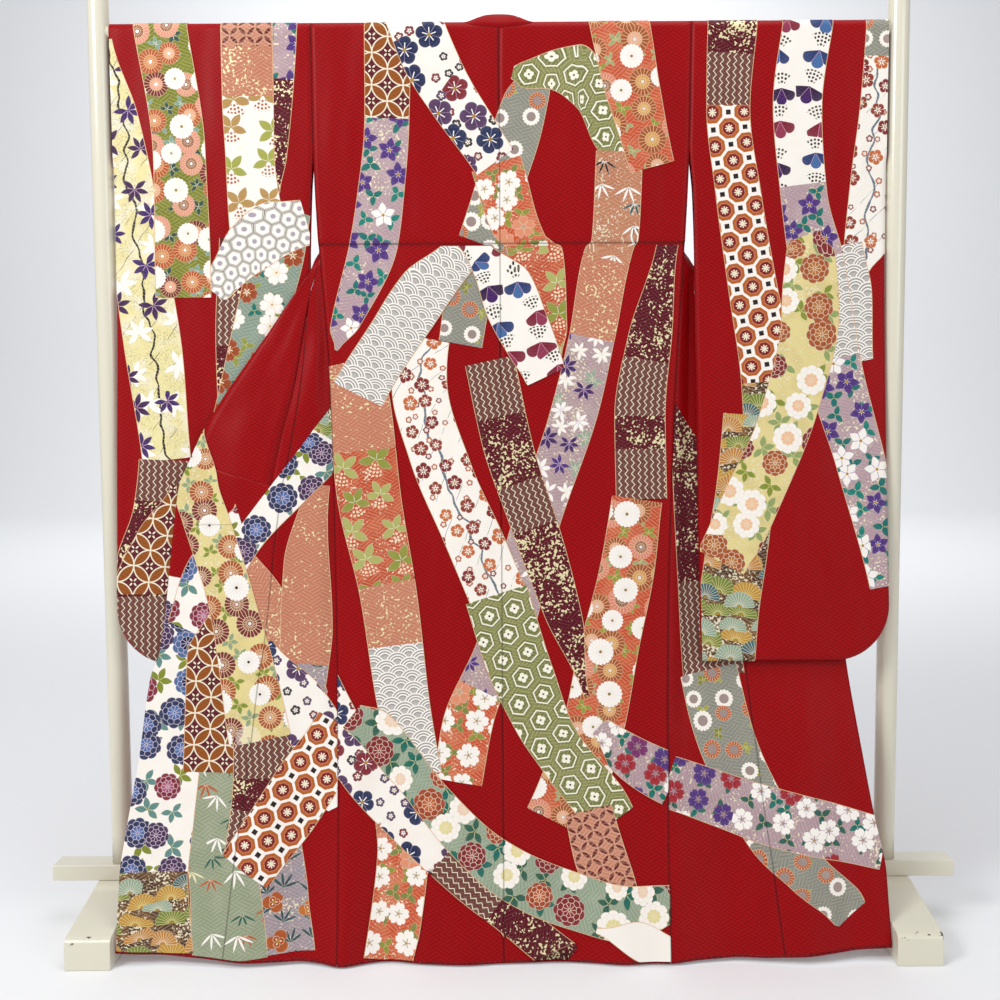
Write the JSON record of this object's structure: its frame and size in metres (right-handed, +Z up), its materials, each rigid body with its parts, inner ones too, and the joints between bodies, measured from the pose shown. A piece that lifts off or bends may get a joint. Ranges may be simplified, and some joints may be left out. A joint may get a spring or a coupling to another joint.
{
  "type": "furisode on kimono stand",
  "caption": "Long-sleeved silk kimono seen from behind, hung over the rod of an enamelled stand with both fronts drawn out to the sides.",
  "frame": {"origin": "centre of the stand's footprint on the floor", "axes": "+Z up, +X to the viewer's right along the rod, +Y away from the viewer, who sees the garment's back from -Y"},
  "size_m": [1.672, 0.404, 1.705],
  "materials": {
    "silk": "crimson figured satin with dyed ribbons",
    "hem_silk": "dark red silk",
    "enamel": "ivory gloss enamel"
  },
  "bodies": {
    "root": {"body_left": "silk", "okumi_left": "silk", "sleeve_left": "silk", "hem_roll_left": "hem_silk", "post_left": "enamel", "foot_left": "enamel", "body_right": "silk", "okumi_right": "silk", "sleeve_right": "silk", "hem_roll_right": "hem_silk", "post_right": "enamel", "foot_right": "enamel", "collar": "silk", "hem_roll_back": "hem_silk", "rail": "enamel", "rod": "enamel"}
  },
  "joints": []
}
